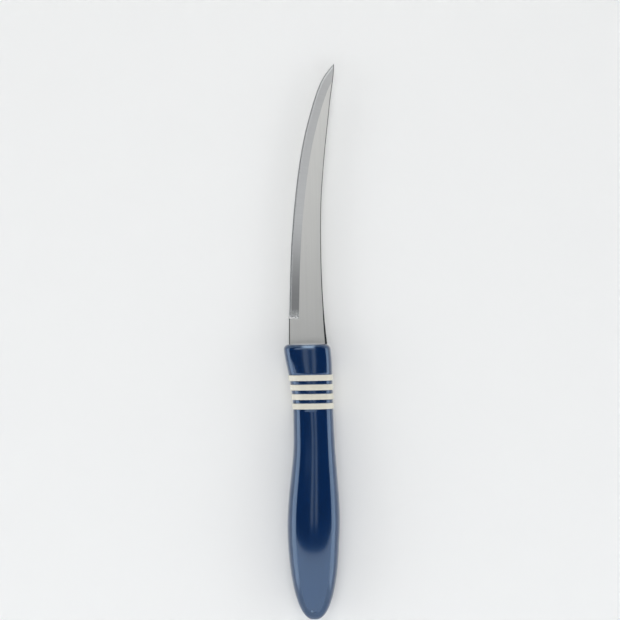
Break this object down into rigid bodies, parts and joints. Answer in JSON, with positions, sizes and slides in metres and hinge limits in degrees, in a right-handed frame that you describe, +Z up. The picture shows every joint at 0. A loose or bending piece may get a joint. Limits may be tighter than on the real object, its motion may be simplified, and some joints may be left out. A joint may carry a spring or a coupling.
{
  "type": "tomato knife",
  "caption": "Slim kitchen knife with an upswept, finely toothed steel blade, hidden tang and a rounded plastic handle with contrasting rings at its front.",
  "frame": {"origin": "on the surface that the knife lies on, under the handle's axis, midway between the butt and the tip", "axes": "+Y along the knife from butt to tip, -X the side of the cutting edge, +Z up, square to the flats of the blade"},
  "size_m": [0.0248, 0.25, 0.016],
  "materials": {
    "blade_steel": "fine lengthwise satin flats with a cross-ground band along the edge",
    "handle_plastic": "glossy injection-moulded polypropylene, dark blue",
    "ring_plastic": "glossy injection-moulded polypropylene, warm white"
  },
  "bodies": {
    "root": {"blade": "blade_steel", "handle": "handle_plastic", "stripe_ring_1": "ring_plastic", "stripe_ring_2": "ring_plastic", "stripe_ring_3": "ring_plastic", "stripe_ring_4": "ring_plastic"}
  },
  "joints": []
}
